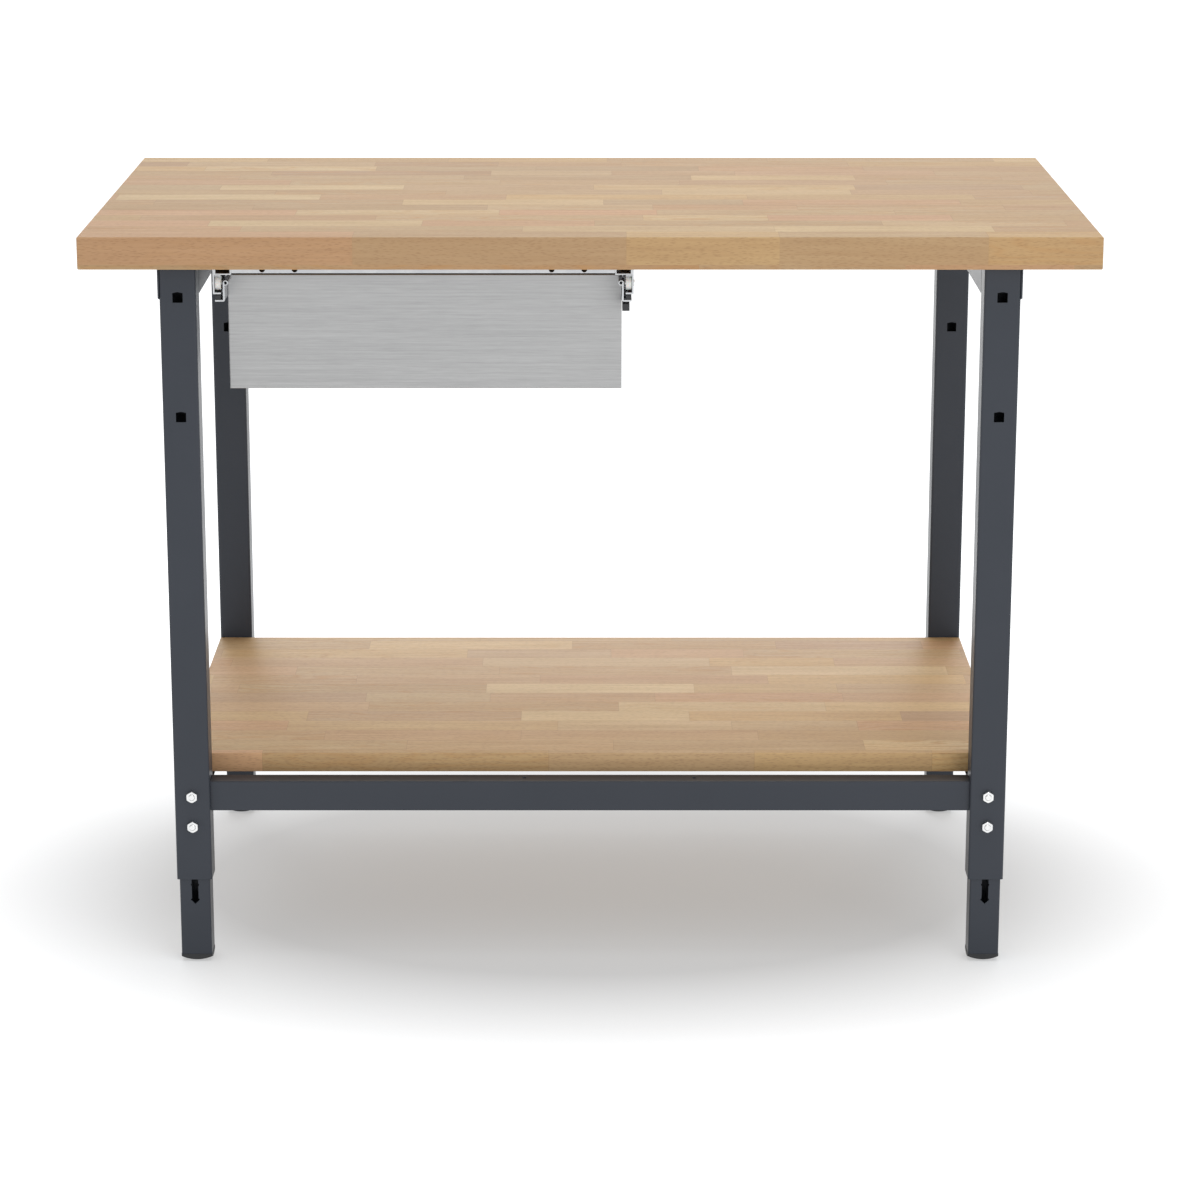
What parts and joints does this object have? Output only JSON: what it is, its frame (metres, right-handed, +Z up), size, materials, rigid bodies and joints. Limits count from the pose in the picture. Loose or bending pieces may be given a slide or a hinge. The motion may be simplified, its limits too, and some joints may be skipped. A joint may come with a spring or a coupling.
{
  "type": "workbench",
  "caption": "Height-adjustable workbench with a solid wood top and shelf on a bolted steel frame, and a drawer on roller slides under the top.",
  "frame": {"origin": "on the floor under the middle of the worktop", "axes": "+X to the right along the bench, -Y towards the user and the way the drawer opens, +Z up"},
  "size_m": [1.25, 0.7, 0.945],
  "materials": {
    "beech": "oiled beech staves, glued side by side",
    "powder_coat": "fine anthracite powder coat, semi-matt",
    "stainless": "stainless sheet brushed along its length",
    "steel_tray": "zinc-plated sheet",
    "zinc_sheet": "bright zinc-plated sheet",
    "zinc_fastener": "bright zinc plating",
    "nylon": "natural nylon",
    "black_plastic": "moulded, fine grain",
    "black_rubber": "moulded"
  },
  "bodies": {
    "front_left_leg": {"inner_leg_front_left": "powder_coat", "foot_front_left": "black_plastic"},
    "bench": {"clamp_bolts": "zinc_fastener", "clamp_nuts": "zinc_fastener", "cross_rail_front": "powder_coat", "cross_rail_rear": "powder_coat", "fixed_rail_left": "zinc_sheet", "fixed_rail_right": "zinc_sheet", "front_roller_axles": "zinc_fastener", "hanger_screws": "zinc_fastener", "hanger_spacers": "zinc_fastener", "lower_beam_left": "powder_coat", "lower_beam_right": "powder_coat", "rail_bolts": "zinc_fastener", "rail_rivet_nuts": "zinc_fastener", "rail_rivets": "zinc_fastener", "rear_buffers": "black_rubber", "shelf": "beech", "shelf_screws": "zinc_fastener", "slide_hanger_left": "zinc_sheet", "slide_hanger_right": "zinc_sheet", "tie_rivets": "zinc_fastener", "tie_strip_front": "zinc_sheet", "tie_strip_rear": "zinc_sheet", "top_beam_left": "powder_coat", "top_beam_right": "powder_coat", "upper_leg_front_left": "powder_coat", "upper_leg_front_right": "powder_coat", "upper_leg_rear_left": "powder_coat", "upper_leg_rear_right": "powder_coat", "worktop": "beech", "worktop_screws": "zinc_fastener"},
    "front_right_leg": {"inner_leg_front_right": "powder_coat", "foot_front_right": "black_plastic"},
    "rear_left_leg": {"inner_leg_rear_left": "powder_coat", "foot_rear_left": "black_plastic"},
    "rear_right_leg": {"inner_leg_rear_right": "powder_coat", "foot_rear_right": "black_plastic"},
    "drawer": {"drawer_front": "stainless", "drawer_tray": "steel_tray", "drawer_front_screws": "zinc_fastener", "runner_left": "zinc_sheet", "runner_right": "zinc_sheet", "runner_rivets": "zinc_fastener", "runner_glides": "black_plastic", "rear_roller_axles": "zinc_fastener", "catch_pin": "zinc_fastener"},
    "front_roller_left": {"front_roller_left": "nylon"},
    "front_roller_right": {"front_roller_right": "nylon"},
    "rear_roller_left": {"rear_roller_left": "nylon"},
    "rear_roller_right": {"rear_roller_right": "nylon"},
    "catch": {"catch_lever": "black_plastic"}
  },
  "joints": [
    {"name": "bench_height", "type": "slide", "parent": "front_left_leg", "child": "bench", "axis": [0, 0, 1], "range_m": [-0.1, 0.1]},
    {"name": "front_right_leg_height", "type": "slide", "parent": "bench", "child": "front_right_leg", "axis": [0, 0, -1], "range_m": [-0.1, 0.1]},
    {"name": "rear_left_leg_height", "type": "slide", "parent": "bench", "child": "rear_left_leg", "axis": [0, 0, -1], "range_m": [-0.1, 0.1]},
    {"name": "rear_right_leg_height", "type": "slide", "parent": "bench", "child": "rear_right_leg", "axis": [0, 0, -1], "range_m": [-0.1, 0.1]},
    {"name": "drawer_slide", "type": "slide", "parent": "bench", "child": "drawer", "axis": [0, -1, 0], "range_m": [0, 0.375]},
    {"name": "front_roller_left_spin", "type": "hinge", "parent": "bench", "child": "front_roller_left", "pos_m": [-0.45625, -0.3195, 0.8842], "axis": [1, 0, 0], "continuous": true},
    {"name": "front_roller_right_spin", "type": "hinge", "parent": "bench", "child": "front_roller_right", "pos_m": [0.04745, -0.3195, 0.8842], "axis": [1, 0, 0], "continuous": true},
    {"name": "rear_roller_left_spin", "type": "hinge", "parent": "drawer", "child": "rear_roller_left", "pos_m": [-0.45525, 0.15, 0.8829], "axis": [1, 0, 0], "continuous": true},
    {"name": "rear_roller_right_spin", "type": "hinge", "parent": "drawer", "child": "rear_roller_right", "pos_m": [0.04645, 0.15, 0.8829], "axis": [1, 0, 0], "continuous": true},
    {"name": "catch_press", "type": "hinge", "parent": "drawer", "child": "catch", "pos_m": [0.04405, -0.312, 0.8573], "axis": [-1, 0, 0], "range_deg": [0, 8], "stiffness_Nm_per_rad": 0.02, "springref_deg": -17.19}
  ],
  "couplings": [
    {"joint": "front_right_leg_height", "follows": "bench_height", "ratio": 1},
    {"joint": "rear_left_leg_height", "follows": "bench_height", "ratio": 1},
    {"joint": "rear_right_leg_height", "follows": "bench_height", "ratio": 1},
    {"joint": "front_roller_left_spin", "follows": "drawer_slide", "rad_per_m": 107.53},
    {"joint": "front_roller_right_spin", "follows": "drawer_slide", "rad_per_m": 107.53},
    {"joint": "rear_roller_left_spin", "follows": "drawer_slide", "rad_per_m": 107.53},
    {"joint": "rear_roller_right_spin", "follows": "drawer_slide", "rad_per_m": 107.53}
  ]
}
